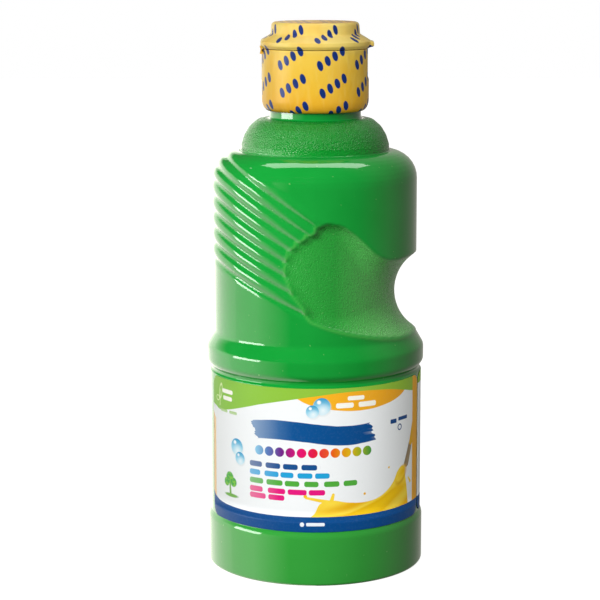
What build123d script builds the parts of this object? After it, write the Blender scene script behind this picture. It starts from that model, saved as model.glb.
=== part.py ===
from build123d import *
from math import cos, radians, sin, sqrt
import os

# A 250 ml squeeze bottle of school paint with a screw-on flip-top cap.
# +Z is up, the origin is the middle of the foot ring, the front label faces -Y.
# The finger grip and the lid's thumb tab are at +X, the lid's hinge is at -X. Millimetres.
os.makedirs("parts", exist_ok=True)

# bottle: radii are outside radii, heights are from the foot ring
wall = 0.7
foot_in_r = 24.5
punt_slope_w = 2.0
foot_r = 28.75
punt_rise = 1.6
heel_r = 29.7
heel_top_z = 14.3
panel_r = 29.25
panel_low_z = 14.8
panel_top_z = 54.5
groove_r = 28.7
groove_low_z = 54.9
groove_top_z = 55.6
belt_r = 30.0
belt_low_z = 57.3
belt_top_z = 61.4
body_r = 27.9
body_low_z = 65.2
shoulder_round = 7.5
shoulder_z = 115.0
dome_foot_r = 20.1
dome_mid = (18.3, 120.2)
dome_mid_angle = 37.0
dome_top_r = 13.2
dome_top_z = 123.8
neck_ring_r = 12.45
neck_ring_top_z = 126.4
neck_r = 11.6
neck_top_z = 140.2
overlap = 0.5

# screw thread on the neck and in the cap
pitch = 4.2
thread_depth = 0.9
thread_root_w = 1.6
thread_crest_w = 0.9
thread_root_sink = 0.15
neck_thread_z = 129.8
neck_thread_turns = 1.75
cap_thread_turns = 1.5

# finger grip: (angle from +X in degrees, depth, top height, bottom height)
grip_sections = [
    (0, 6.0, 87.4, 65.2),
    (40, 5.0, 87.3, 65.8),
    (60, 3.8, 90.6, 67.3),
    (75, 2.6, 96.8, 69.2),
    (88, 1.6, 97.2, 72.0),
    (98, 0.8, 93.4, 76.6),
    (107, 0.1, 87.6, 83.8),
]
grip_reach_r = 31.0

# turned solids start and end at -X, clear of the grip
seam_plane = Plane.XZ.rotated((0, 0, 180))

# ribs on the side away from the grip, each in a plane that climbs towards -X
rib_count = 8
rib_height = 0.6
rib_width = 2.2
rib_first_z = 98.9
rib_drop = 3.55
rib_first_slope = -0.69
rib_last_slope = -0.50
rib_end_x = 0.0
rib_reach_r = 33.0

# paint and labels
paint_gap = 0.05
paint_top_z = 122.2
label_gap = 0.02
label_t = 0.12
label_low_z = 15.0
label_top_z = 54.3
front_label_span = (-162.0, -17.5)
back_label_span = (-16.0, 178.0)

# cap base
skirt_r = 14.3
skirt_low_z = 126.6
skirt_round = 1.1
skirt_bore_r = 12.85
deck_low_z = 141.0
deck_top_z = 142.6
spout_r = 3.4
spout_top_z = 145.2
spout_bore_r = 1.5
spout_taper = 4
thumb_flat_x = 13.9
thumb_flat_low_z = 135.0
thumb_flat_w = 12.0

# gasket under the deck
gasket_in_r = 9.9
gasket_r = 12.6
gasket_low_z = 140.25
gasket_t = 0.7

# lid
parting_z = 142.75
flange_r = 15.05
flange_low_z = 143.3
flange_top_z = 144.5
cone_foot_r = 14.1
cone_foot_z = 144.95
boss_r = 11.75
boss_low_z = 146.3
boss_top_r = 11.55
boss_round = 0.8
lid_top_z = 149.5
lid_wall = 1.2
lid_hollow_step_z = 144.2
tab_reach_x = 15.6
tab_w = 8.0
tab_length = 8.0
tab_round = 1.2
tab_low_z = 143.4
tab_t = 0.9
stem_r = 2.2
stem_low_z = 145.5
plug_r = 1.4
plug_tip_r = 1.0
plug_low_z = 143.7

# living hinge on the line through (hinge_x, hinge_z) along Y
hinge_x = -14.9
hinge_z = 142.7
hinge_w = 8.0
hinge_t = 0.4
hinge_low_z = 140.9
hinge_gap = 0.06
hinge_root_t = 1.2
hinge_root_round = 0.6
lid_back_x = -14.8
cutter = 40.0

# shrink band: a thin film over the cap, scored at the lid's parting line
film_gap = 0.05
film_t = 0.25
film_low_z = 125.85
film_low_r = 12.75
film_round = 2.0
hinge_window_w = 9.0
hinge_window_x = -13.3
hinge_window_low_z = 140.4


def bottle_blank(skin, top_r, top_z):
    """Turned solid of the bottle, drawn in by skin, with a plain neck of radius top_r up to top_z."""
    with BuildPart() as blank:
        with BuildSketch(seam_plane):
            with BuildLine():
                Polyline(
                    (0, punt_rise + skin),
                    (foot_in_r - punt_slope_w, punt_rise + skin),
                    (foot_in_r, skin),
                    (foot_r, skin),
                )
                foot_round = heel_r - foot_r - skin
                CenterArc((foot_r, skin + foot_round), foot_round, -90, 90)
                Polyline(
                    (heel_r - skin, skin + foot_round),
                    (heel_r - skin, heel_top_z),
                    (panel_r - skin, panel_low_z),
                    (panel_r - skin, panel_top_z),
                    (groove_r - skin, groove_low_z),
                    (groove_r - skin, groove_top_z),
                    (belt_r - skin, belt_low_z),
                    (belt_r - skin, belt_top_z),
                    (body_r - skin, body_low_z),
                    (body_r - skin, shoulder_z - shoulder_round),
                )
                shoulder_in_r = body_r - shoulder_round
                CenterArc((shoulder_in_r, shoulder_z - shoulder_round), shoulder_round - skin, 0, 90)
                Line((shoulder_in_r, shoulder_z - skin), (dome_foot_r - skin, shoulder_z - skin))
                in_r = skin * cos(radians(dome_mid_angle))
                in_z = skin * sin(radians(dome_mid_angle))
                ThreePointArc(
                    (dome_foot_r - skin, shoulder_z - skin),
                    (dome_mid[0] - in_r, dome_mid[1] - in_z),
                    (dome_top_r, dome_top_z - skin),
                )
                Polyline(
                    (dome_top_r, dome_top_z - skin),
                    (top_r, dome_top_z - skin),
                    (top_r, top_z),
                    (0, top_z),
                    (0, punt_rise + skin),
                )
            make_face()
        revolve(axis=Axis.Z)
    return blank.part


def grip_tool(grow):
    """Lofted groove that wraps round +X: it cuts the finger grip, grown by grow for the cavity."""
    mirrored = [(-angle, *rest) for angle, *rest in reversed(grip_sections[1:])]
    with BuildPart() as tool:
        for angle, depth, top_z, low_z in mirrored + grip_sections:
            out = (cos(radians(angle)), -sin(radians(angle)), 0)
            half = (top_z - low_z) / 2
            mid_z = (top_z + low_z) / 2
            arc_r = (depth**2 + half**2) / (2 * depth)
            centre_r = body_r - depth + arc_r
            reach = sqrt((arc_r + grow) ** 2 - (centre_r - grip_reach_r) ** 2)
            plane = Plane(origin=(0, 0, mid_z), x_dir=out, z_dir=(out[1], -out[0], 0))
            with BuildSketch(plane):
                with BuildLine():
                    ThreePointArc(
                        (grip_reach_r, reach),
                        (centre_r - arc_r - grow, 0),
                        (grip_reach_r, -reach),
                    )
                    Line((grip_reach_r, -reach), (grip_reach_r, reach))
                make_face()
        loft()
    return tool.part


def rib_slabs():
    """Tilted slabs, one for each rib, that climb towards -X."""
    with BuildPart() as slabs:
        for i in range(rib_count):
            slope = rib_first_slope + (rib_last_slope - rib_first_slope) * i / (rib_count - 1)
            mid_z = rib_first_z - rib_drop * i
            left_x = -rib_reach_r
            rise = rib_width / 2 * sqrt(1 + slope**2)
            with BuildSketch(Plane.XZ):
                with BuildLine():
                    Polyline(
                        (rib_end_x, mid_z + slope * rib_end_x - rise),
                        (rib_end_x, mid_z + slope * rib_end_x + rise),
                        (left_x, mid_z + slope * left_x + rise),
                        (left_x, mid_z + slope * left_x - rise),
                        close=True,
                    )
                make_face()
            extrude(amount=rib_reach_r, both=True)
    return slabs.part


def thread_ridge(root_r, outward, start_z, turns):
    """Right-hand trapezoid ridge on a cylinder of radius root_r, pointing out or in."""
    with BuildPart() as ridge:
        with BuildLine() as path:
            Helix(pitch=pitch, height=pitch * turns, radius=root_r, center=(0, 0, start_z))
        start = path.line @ 0
        with BuildSketch(Plane(origin=start, x_dir=(outward, 0, 0), z_dir=path.line % 0)):
            with BuildLine():
                Polyline(
                    (-thread_root_sink, -thread_root_w / 2),
                    (thread_depth, -thread_crest_w / 2),
                    (thread_depth, thread_crest_w / 2),
                    (-thread_root_sink, thread_root_w / 2),
                    close=True,
                )
            make_face()
        sweep(path=path.line, is_frenet=True)
    return ridge.part


def label_sheet(span):
    """Thin sheet round the label panel, between two angles measured from +X."""
    start, end = span
    low_r = panel_r + label_gap
    with BuildPart() as sheet:
        with BuildSketch(Plane.XZ.rotated((0, 0, start))):
            with BuildLine():
                Polyline(
                    (low_r, label_low_z),
                    (low_r + label_t, label_low_z),
                    (low_r + label_t, label_top_z),
                    (low_r, label_top_z),
                    close=True,
                )
            make_face()
        revolve(axis=Axis.Z, revolution_arc=end - start)
    return sheet.part


def skirt_outside(grow, low_z, low_round):
    """Solid outside shape of the cap's skirt, grown by grow, with the flat under the thumb tab."""
    with BuildPart() as body:
        with BuildSketch(Plane.XY.offset(low_z)):
            Circle(skirt_r + grow)
        extrude(amount=deck_top_z - low_z)
        fillet(body.edges().group_by(Axis.Z)[0], low_round)
        with BuildSketch(Plane.XY.offset(thumb_flat_low_z)):
            with Locations((thumb_flat_x + grow, 0)):
                Rectangle(cutter, thumb_flat_w, align=(Align.MIN, Align.CENTER))
        extrude(amount=deck_top_z - thumb_flat_low_z, mode=Mode.SUBTRACT)
    return body.part


def lid_outside(grow):
    """Solid outside shape of the lid, grown by grow, with its thumb tab and its flat at the hinge."""
    top_z = lid_top_z + grow
    with BuildPart() as body:
        with BuildSketch(Plane.XZ):
            with BuildLine():
                Polyline(
                    (0, parting_z),
                    (skirt_r + grow, parting_z),
                    (flange_r + grow, flange_low_z),
                    (flange_r + grow, flange_top_z),
                    (cone_foot_r + grow, cone_foot_z + grow),
                    (boss_r + grow, boss_low_z + grow),
                    (boss_top_r + grow, top_z - boss_round),
                )
                CenterArc((boss_top_r + grow - boss_round, top_z - boss_round), boss_round, 0, 90)
                Polyline((boss_top_r + grow - boss_round, top_z), (0, top_z), (0, parting_z))
            make_face()
        revolve(axis=Axis.Z)
        with BuildSketch(Plane.XY.offset(tab_low_z - grow)):
            with Locations((tab_reach_x + grow, 0)):
                RectangleRounded(tab_length, tab_w + 2 * grow, tab_round, align=(Align.MAX, Align.CENTER))
        extrude(amount=tab_t + 2 * grow)
        with BuildSketch(Plane.XY.offset(parting_z - overlap)):
            with Locations((lid_back_x, 0)):
                Rectangle(cutter, cutter, align=(Align.MAX, Align.CENTER))
        extrude(amount=cutter, mode=Mode.SUBTRACT)
    return body.part


# bottle: blown shell with ribs, finger grip and threaded neck
slabs = rib_slabs()
with BuildPart() as ribs:
    add(slabs)
    with BuildSketch(Plane.XZ):
        with BuildLine():
            rib_r = body_r + rib_height
            arc_x = body_r - shoulder_round
            arc_z = shoulder_z - shoulder_round
            Polyline((0, body_low_z), (rib_r, body_low_z), (rib_r, arc_z))
            CenterArc((arc_x, arc_z), shoulder_round + rib_height, 0, 90)
            Polyline((arc_x, shoulder_z + rib_height), (0, shoulder_z + rib_height), (0, body_low_z))
        make_face()
    revolve(axis=Axis.Z, mode=Mode.INTERSECT)

outside = bottle_blank(0, neck_r, neck_top_z)
inside = bottle_blank(wall, neck_r - wall, neck_top_z + 1)
outer_grip = grip_tool(0)
inner_grip = grip_tool(wall)
neck_thread = thread_ridge(neck_r, 1, neck_thread_z, neck_thread_turns)
with BuildPart() as cavity:
    add(inside)
    add(inner_grip, mode=Mode.SUBTRACT)

with BuildPart() as bottle:
    add(outside)
    with BuildSketch(Plane.XY.offset(dome_top_z - overlap)):
        Circle(neck_ring_r)
    extrude(amount=neck_ring_top_z - dome_top_z + overlap)
    add(ribs.part)
    add(outer_grip, mode=Mode.SUBTRACT)
    add(neck_thread)
    add(cavity.part, mode=Mode.SUBTRACT)
bottle.part.label = "bottle"
export_step(bottle.part, "parts/bottle.step")

# paint: fills the cavity up to its level under the dome
paint_blank = bottle_blank(wall + paint_gap, neck_r - wall - paint_gap, neck_top_z)
paint_grip = grip_tool(wall + paint_gap)
with BuildPart() as paint_fill:
    add(paint_blank)
    add(paint_grip, mode=Mode.SUBTRACT)
    split(bisect_by=Plane.XY.offset(paint_top_z), keep=Keep.BOTTOM)
paint_fill.part.label = "paint_fill"
export_step(paint_fill.part, "parts/paint_fill.step")

# labels
front_label = label_sheet(front_label_span)
front_label.label = "front_label"
export_step(front_label, "parts/front_label.step")

back_label = label_sheet(back_label_span)
back_label.label = "back_label"
export_step(back_label, "parts/back_label.step")

# cap base: skirt with its inside thread, deck and pouring spout
skirt = skirt_outside(0, skirt_low_z, skirt_round)
cap_thread = thread_ridge(skirt_bore_r, -1, neck_thread_z - pitch / 2, cap_thread_turns)
with BuildPart() as cap_base:
    add(skirt)
    with BuildSketch(Plane.XY.offset(deck_top_z)):
        Circle(spout_r)
    extrude(amount=spout_top_z - deck_top_z, taper=spout_taper)
    with BuildSketch(Plane.XY.offset(skirt_low_z)):
        Circle(skirt_bore_r)
    extrude(amount=deck_low_z - skirt_low_z, mode=Mode.SUBTRACT)
    with BuildSketch(Plane.XY.offset(deck_low_z)):
        Circle(spout_bore_r)
    extrude(amount=spout_top_z - deck_low_z, mode=Mode.SUBTRACT)
    add(cap_thread)
cap_base.part.label = "cap_base"
export_step(cap_base.part, "parts/cap_base.step")

# sealing ring between the neck's lip and the deck
with BuildPart() as rim_gasket:
    with BuildSketch(Plane.XY.offset(gasket_low_z)):
        Circle(gasket_r)
        Circle(gasket_in_r, mode=Mode.SUBTRACT)
    extrude(amount=gasket_t)
rim_gasket.part.label = "rim_gasket"
export_step(rim_gasket.part, "parts/rim_gasket.step")

# lid: hollow cover with a plug that closes the spout
lid_blank = lid_outside(0)
with BuildPart() as flip_lid:
    add(lid_blank)
    with BuildSketch(Plane.XZ):
        with BuildLine():
            Polyline(
                (0, parting_z),
                (skirt_r - lid_wall, parting_z),
                (skirt_r - lid_wall, lid_hollow_step_z),
                (boss_top_r - lid_wall, boss_low_z),
                (boss_top_r - lid_wall, lid_top_z - lid_wall),
                (0, lid_top_z - lid_wall),
                close=True,
            )
        make_face()
    revolve(axis=Axis.Z, mode=Mode.SUBTRACT)
    with BuildSketch(Plane.XZ):
        with BuildLine():
            Polyline(
                (0, plug_low_z),
                (plug_tip_r, plug_low_z),
                (plug_r, stem_low_z),
                (stem_r, stem_low_z),
                (stem_r, lid_top_z - lid_wall / 2),
                (0, lid_top_z - lid_wall / 2),
                close=True,
            )
        make_face()
    revolve(axis=Axis.Z)
flip_lid.part.label = "flip_lid"
export_step(flip_lid.part, "parts/flip_lid.step")

# living hinge: a thin web from the skirt up to the hinge line, and a tongue on the lid's side
skirt_clearance = skirt_outside(0.01, skirt_low_z, skirt_round)
with BuildPart() as hinge_web:
    with BuildSketch(Plane.XZ):
        with BuildLine():
            Polyline(
                (hinge_x + hinge_root_t, hinge_low_z),
                (hinge_x, hinge_low_z + hinge_root_round),
                (hinge_x, hinge_z - hinge_gap / 2),
                (hinge_x + hinge_t, hinge_z - hinge_gap / 2),
                (hinge_x + hinge_root_t, hinge_z - hinge_gap),
                close=True,
            )
        make_face()
    extrude(amount=hinge_w / 2, both=True)
    add(skirt_clearance, mode=Mode.SUBTRACT)
hinge_web.part.label = "hinge_web"
export_step(hinge_web.part, "parts/hinge_web.step")

# shrink band, in the two pieces that the score line leaves
film_outside = skirt_outside(film_gap + film_t, film_low_z, film_round)
film_inside = skirt_outside(film_gap, film_low_z + film_t, film_round - film_t)
with BuildPart() as band_lower:
    add(film_outside)
    add(film_inside, mode=Mode.SUBTRACT)
    with BuildSketch(Plane.XY.offset(film_low_z)):
        Circle(film_low_r)
    extrude(amount=overlap, mode=Mode.SUBTRACT)
    with BuildSketch(Plane.XY.offset(hinge_window_low_z)):
        with Locations((hinge_window_x, 0)):
            Rectangle(cutter, hinge_window_w, align=(Align.MAX, Align.CENTER))
    extrude(amount=cutter, mode=Mode.SUBTRACT)
band_lower.part.label = "band_lower"
export_step(band_lower.part, "parts/band_lower.step")

lid_film_outside = lid_outside(film_gap + film_t)
lid_film_inside = lid_outside(film_gap)
with BuildPart() as band_upper:
    add(lid_film_outside)
    add(lid_film_inside, mode=Mode.SUBTRACT)
band_upper.part.label = "band_upper"
export_step(band_upper.part, "parts/band_upper.step")
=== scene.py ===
"""Looks of a squeeze bottle of green school paint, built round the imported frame.

Lengths are millimetres until a mesh is made. Angles are degrees about +Z from +X, as seen from above.
The bottle is the same at the front (-Y) and the back, so its shapes use the angle's size alone.
"""
import math

import bpy
import numpy as np
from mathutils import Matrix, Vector


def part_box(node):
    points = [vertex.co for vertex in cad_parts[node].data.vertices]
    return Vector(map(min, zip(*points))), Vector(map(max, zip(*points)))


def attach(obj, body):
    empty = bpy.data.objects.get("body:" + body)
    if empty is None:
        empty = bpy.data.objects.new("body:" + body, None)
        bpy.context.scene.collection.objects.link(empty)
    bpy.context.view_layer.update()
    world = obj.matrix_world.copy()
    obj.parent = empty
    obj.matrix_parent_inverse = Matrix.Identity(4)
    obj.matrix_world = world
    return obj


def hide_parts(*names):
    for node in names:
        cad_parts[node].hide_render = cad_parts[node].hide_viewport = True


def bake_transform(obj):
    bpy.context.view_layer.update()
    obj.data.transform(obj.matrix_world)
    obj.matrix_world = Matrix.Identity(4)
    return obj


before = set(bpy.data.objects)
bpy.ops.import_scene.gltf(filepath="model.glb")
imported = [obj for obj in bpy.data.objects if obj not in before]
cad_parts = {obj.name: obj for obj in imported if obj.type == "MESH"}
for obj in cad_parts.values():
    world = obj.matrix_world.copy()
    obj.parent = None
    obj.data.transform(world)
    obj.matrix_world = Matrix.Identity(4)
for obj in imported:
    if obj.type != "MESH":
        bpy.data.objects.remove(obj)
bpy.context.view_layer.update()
MM = 0.001


def box_mm(node):
    """Lowest and highest corner of a CAD node, in millimetres."""
    lo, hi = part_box(node)
    return np.array(lo) / MM, np.array(hi) / MM


BOTTLE_HI = box_mm("bottle")[1]
LABEL_LO, LABEL_HI = box_mm("back_label")
PAINT_HI = box_mm("paint_fill")[1]
SKIRT_FILM_LO, SKIRT_FILM_HI = box_mm("band_lower")
LID_FILM_HI = box_mm("band_upper")[1]

# ---------------------------------------------------------------- camera and light
CAMERA_PITCH = 9.8
CAMERA_DISTANCE = 585.0
CAMERA_LENS = 126.6
CAMERA_AIM_Z = 73.2
CAMERA_SHIFT_X = -0.0255
FLOOR_HALF = 2000.0
FLOOR_Z = -0.02
CAMERA_CLIP_START = 0.01


def add_camera():
    """A long lens that looks slightly down at the front label."""
    pitch = math.radians(CAMERA_PITCH)
    camera = bpy.data.objects.new("camera", bpy.data.cameras.new("camera"))
    bpy.context.scene.collection.objects.link(camera)
    camera.data.lens = CAMERA_LENS
    camera.data.shift_x = CAMERA_SHIFT_X
    camera.data.clip_start = CAMERA_CLIP_START
    back = CAMERA_DISTANCE * math.cos(pitch)
    up = CAMERA_AIM_Z + CAMERA_DISTANCE * math.sin(pitch)
    camera.location = (0, -back * MM, up * MM)
    camera.rotation_euler = (math.radians(90) - pitch, 0, 0)
    bpy.context.scene.camera = camera


def add_softbox(name, azimuth, elevation, distance, size, radiance, aim_z=75.0):
    """Area light of size (width, height) facing the bottle; azimuth 0 is the camera's side, + is right."""
    a, e = math.radians(azimuth), math.radians(elevation)
    light = bpy.data.lights.new(name, "AREA")
    light.shape = "RECTANGLE"
    light.size, light.size_y = size[0] * MM, size[1] * MM
    light.energy = radiance * math.pi * light.size * light.size_y
    lamp = bpy.data.objects.new(name, light)
    bpy.context.scene.collection.objects.link(lamp)
    out = np.array((math.sin(a) * math.cos(e), -math.cos(a) * math.cos(e), math.sin(e)))
    lamp.location = (out * distance + np.array((0, 0, aim_z))) * MM
    lamp.rotation_euler = Vector(tuple(-out)).to_track_quat("-Z", "Y").to_euler()
    return lamp


def add_studio():
    """Pale floor and soft lights: one that gives no reflection, and two that are only reflected."""
    bpy.context.scene.view_settings.view_transform = "Standard"
    key = add_softbox("key", -27, 28, 800, (620, 480), 7.7)
    key.visible_glossy = False
    strip = add_softbox("strip_left", -76, 5, 520, (330, 150), 10.5, aim_z=68)
    strip.visible_diffuse = False
    overhead = add_softbox("overhead", 0, 96, 520, (640, 240), 4.7, aim_z=110)
    overhead.visible_diffuse = False
    square = np.array([(-1.0, -1.0, 0.0), (1.0, -1.0, 0.0), (1.0, 1.0, 0.0), (-1.0, 1.0, 0.0)])
    floor = make_mesh("floor", square * FLOOR_HALF + (0, 0, FLOOR_Z), [(0, 1, 2, 3)])
    floor.visible_diffuse = False
    floor.visible_glossy = False
    material, shader = new_material("floor_white", Roughness=0.7, Emission_Strength=0.95)
    shader.inputs["Emission Color"].default_value = (1, 1, 1, 1)
    greys = [(0.3, (0.3, 0.3, 0.3, 1)), (0.7, (0.32, 0.32, 0.32, 1))]
    plug(ramp(noise(0.02, 2.0), greys), shader.inputs["Base Color"])
    floor.data.materials.append(material)
    add_world()


def add_world():
    """World that is white to the camera and dim to the bottle, with brighter sides in reflections."""
    world = bpy.data.worlds.new("studio")
    bpy.context.scene.world = world
    world.use_nodes = True
    Field.tree = world.node_tree
    Field.tree.nodes.clear()
    split = add_node("SeparateXYZ")
    coords = add_node("TexCoord")
    plug(coords.outputs["Generated"], split.inputs[0])
    x, y, z = (Field(split.outputs[k]) for k in "XYZ")
    azimuth = calc("ARCTAN2", x, -y) * (180 / math.pi)
    path = add_node("LightPath")
    glossy = Field(path.outputs["Is Glossy Ray"])
    left = clamp((-azimuth - 28) / 42) * clamp((0.35 - z) / 0.2)
    left = left * (1.8 + clamp((-azimuth - 101) / 2) * 0.3)
    right = clamp((azimuth - 50) / 40) * 0.25
    behind = clamp((azimuth - 120) / 30) * 0.1
    back = clamp((absolute(azimuth) - 135) / 30) * 0.9
    level = 0.1 + glossy * (left + right + behind) + (1.0 - glossy) * back
    lit = add_node("Background")
    lit.inputs["Color"].default_value = (1.0, 0.98, 0.88, 1)
    plug(level, lit.inputs["Strength"])
    seen = add_node("Background")
    seen.inputs["Color"].default_value = (1, 1, 1, 1)
    mix = add_node("MixShader")
    out = add_node("OutputWorld")
    plug(path.outputs["Is Camera Ray"], mix.inputs["Fac"])
    plug(lit.outputs[0], mix.inputs[1])
    plug(seen.outputs[0], mix.inputs[2])
    plug(mix.outputs[0], out.inputs["Surface"])


# ---------------------------------------------------------------- outlines and grids
def unit(v):
    """v at length 1."""
    return v / np.linalg.norm(v)


def rounded(corners, arc_step=12.0):
    """Outline through (r, z, fillet) corners, with an arc at each corner that has a fillet."""
    points = []
    for i, (r, z, fillet) in enumerate(corners):
        p = np.array((r, z), float)
        if not fillet:
            points.append(p)
            continue
        a = unit(np.array(corners[i - 1][:2]) - p)
        b = unit(np.array(corners[i + 1][:2]) - p)
        half = math.acos(np.clip(a @ b, -1, 1)) / 2
        centre = p + unit(a + b) * fillet / math.sin(half)
        start = unit(p + a * fillet / math.tan(half) - centre)
        end = unit(p + b * fillet / math.tan(half) - centre)
        turn = math.pi - 2 * half
        count = max(2, math.ceil(math.degrees(turn) / arc_step))
        for k in range(count + 1):
            w = k / count
            on_arc = start * math.sin((1 - w) * turn) + end * math.sin(w * turn)
            points.append(centre + on_arc * fillet / math.sin(turn))
    return np.array(points)


def spaced(points, gap):
    """The outline with points added so that no step at height z is longer than gap(z)."""
    out = [points[0]]
    for p, q in zip(points, points[1:]):
        length = np.linalg.norm(q - p)
        count = max(1, math.ceil(length / gap((p[1] + q[1]) / 2)))
        out += [p + (q - p) * k / count for k in range(1, count + 1)]
    return np.array(out)


def outline_normals(points):
    """Outward normals (r, z) of an outline that runs up the outside."""
    along = np.gradient(points, axis=0)
    along /= np.linalg.norm(along, axis=1)[:, None] + 1e-9
    return np.stack((along[:, 1], -along[:, 0]), axis=1)


def grid_faces(rows, cols, closed):
    """Quads of a grid whose columns go round; closed joins the last column to the first."""
    i = np.arange(rows - 1)[:, None]
    j = np.arange(cols if closed else cols - 1)[None, :]
    a = i * cols + j
    b = i * cols + (j + 1) % cols
    return np.stack((a, b, b + cols, a + cols), axis=-1).reshape(-1, 4)


def make_mesh(name, points, faces, uv=None, fields=None, caps=()):
    """Mesh object from points (mm) and quads, with an optional UV per point, point fields and n-gon caps."""
    mesh = bpy.data.meshes.new(name)
    polygons = [tuple(int(k) for k in f) for f in faces] + [tuple(int(k) for k in c) for c in caps]
    mesh.from_pydata((points.reshape(-1, 3) * MM).tolist(), [], polygons)
    if uv is not None:
        layer = mesh.uv_layers.new(name="art")
        loops = np.empty(len(mesh.loops), int)
        mesh.loops.foreach_get("vertex_index", loops)
        layer.data.foreach_set("uv", uv.reshape(-1, 2)[loops].astype(np.float32).ravel())
    for key, values in (fields or {}).items():
        attribute = mesh.attributes.new(key, "FLOAT", "POINT")
        attribute.data.foreach_set("value", values.astype(np.float32).ravel())
    mesh.polygons.foreach_set("use_smooth", [True] * len(mesh.polygons))
    mesh.validate()
    piece = bpy.data.objects.new(name, mesh)
    bpy.context.scene.collection.objects.link(piece)
    return piece


def smoothstep(x):
    """Soft step from 0 to 1 as x goes from 0 to 1."""
    x = np.clip(x, 0, 1)
    return x * x * (3 - 2 * x)


# ---------------------------------------------------------------- bottle shape
BODY_R = 27.9
SHOULDER_Z = 115.0
DOME_TOP_Z = 123.8
NECK_R = 11.6
NECK_FOOT_Z = 127.4
NECK_TOP_Z = BOTTLE_HI[2]
WALL = 0.7
PAINT_GAP = 0.12
THREAD_LOW_Z = 129.8
THREAD_TURNS = 1.75
SEAM_ANGLE = 90.0
SEAM_HIGH = 0.035

# ribs: each climbs towards -X in its own plane, and the planes fan out
RIB_LAST = 7
RIB_FIRST_Z = 98.9
RIB_DROP = 3.55
RIB_FIRST_SLOPE = -0.69
RIB_FAN = 0.027
RIB_CREST = 0.32
RIB_VALLEY = -0.6

# finger grip, seen in (angle, height): its outline runs from +X round to its tip and back
GRIP_OUTLINE = [
    (0, 87.5), (20, 87.3), (38, 87.2), (47, 87.9), (54, 89.6), (60, 92.0), (67, 94.9), (74, 97.2),
    (81, 98.1), (87, 97.9), (91, 95.6), (96, 94.2), (101, 92.2), (104.5, 90.2), (106.6, 86.0),
    (104.5, 82.0), (101, 78.6), (97, 75.8), (92.5, 72.6), (88, 71.5), (80, 70.0), (70, 68.6),
    (60, 67.5), (48, 66.4), (36, 65.7), (20, 65.4), (0, 65.3),
]
# its floor is a round wall moved towards -X; its edge has a low lip, scalloped at the ribs
GRIP_FLOOR_R = 26.9
GRIP_FLOOR_SHIFT = 5.0
LIP_HIGH = 0.2
LIP_AT = 0.4
LIP_WIDE = 0.36


def bottle_outline(s):
    """Outline of the bottle from the punt to the neck's foot, drawn in by s."""
    return [
        (21.0, 1.6 + s, 0), (22.6, 1.6 + s, 0.8), (24.5, s, 0.8), (29.9 - s, s, 1.0 - s),
        (29.9 - s, 13.6, 3.0), (29.22 - s, 14.85, 0.2), (29.25 - s, 54.5, 0.25),
        (28.75 - s, 54.9, 0.4), (28.75 - s, 55.6, 0.8), (30.0 - s, 57.3, 2.2), (30.0 - s, 61.4, 2.4),
        (BODY_R - s, 65.0, 2.2), (BODY_R - s, SHOULDER_Z - s, 7.5 - s), (20.2 - s, SHOULDER_Z - s, 0.4),
        (20.2 - s, 116.6, 1.2), (19.4 - s, 119.2, 3.0), (18.0 - s, 121.5, 3.0), (15.8 - s, 123.4 - s, 2.0),
        (14.0 - s, DOME_TOP_Z - s, 1.2), (12.45 - s, DOME_TOP_Z - s, 0.45),
        (12.45 - s, 126.4, 0.25), (NECK_R - s, 126.7, 0.15), (NECK_R - s, NECK_FOOT_Z, 0),
    ]


def grip_distance(angle, z):
    """Distance inside the grip's outline (negative outside), on the unrolled body."""
    corners = np.array(GRIP_OUTLINE, float)
    corners[:, 0] = np.radians(corners[:, 0]) * BODY_R
    outline = catmull(corners, 8)
    u = np.radians(np.abs(angle)) * BODY_R
    p = np.stack((u, z), axis=-1)[..., None, :]
    a, b = outline[:-1], outline[1:]
    ab = b - a
    t = np.clip(((p - a) * ab).sum(-1) / (ab**2).sum(-1), 0, 1)
    nearest = np.sqrt((((a + t[..., None] * ab) - p) ** 2).sum(-1)).min(-1)
    crosses = (a[:, 1] > z[..., None]) != (b[:, 1] > z[..., None])
    at = a[:, 0] + (z[..., None] - a[:, 1]) * ab[:, 0] / np.where(ab[:, 1] == 0, 1e-9, ab[:, 1])
    inside = (crosses & (at > u[..., None])).sum(-1) % 2 == 1
    return np.where(inside, nearest, -nearest)


def catmull(points, steps):
    """Smooth curve through points."""
    p = np.vstack((2 * points[0] - points[1], points, 2 * points[-1] - points[-2]))
    out = []
    for a, b, c, d in zip(p, p[1:], p[2:], p[3:]):
        for k in range(steps):
            t = k / steps
            out.append(0.5 * (2 * b + (c - a) * t + (2 * a - 5 * b + 4 * c - d) * t**2
                              + (3 * b - a - 3 * c + d) * t**3))
    out.append(points[-1])
    return np.array(out)


def rib_index(angle, z, radius):
    """Which rib a point is on: whole numbers are crests, counted down from the top rib."""
    x = radius * np.cos(np.radians(angle))
    return (RIB_FIRST_Z + RIB_FIRST_SLOPE * x - z) / (RIB_DROP - RIB_FAN * x)


def rib_height(angle, z, radius):
    """How far the ribs stand out of the body, and which rib each point is on."""
    t = rib_index(angle, z, radius)
    off = np.abs(t - np.round(t)) * 2
    wave = RIB_CREST + (RIB_VALLEY - RIB_CREST) * off**2.2
    above = np.where(t < 0, RIB_CREST * (1 - smoothstep(-t / 0.55)), wave)
    run_out = RIB_VALLEY * (1 - np.clip((t - RIB_LAST - 0.5) / 0.35, 0, 1)) ** 2
    below = np.where(t > RIB_LAST + 0.5, run_out, above)
    x = radius * np.cos(np.radians(angle))
    fade = smoothstep((2.5 - x) / 3.0) * smoothstep((116.6 - z) / 1.6)
    return below * fade, t


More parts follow.
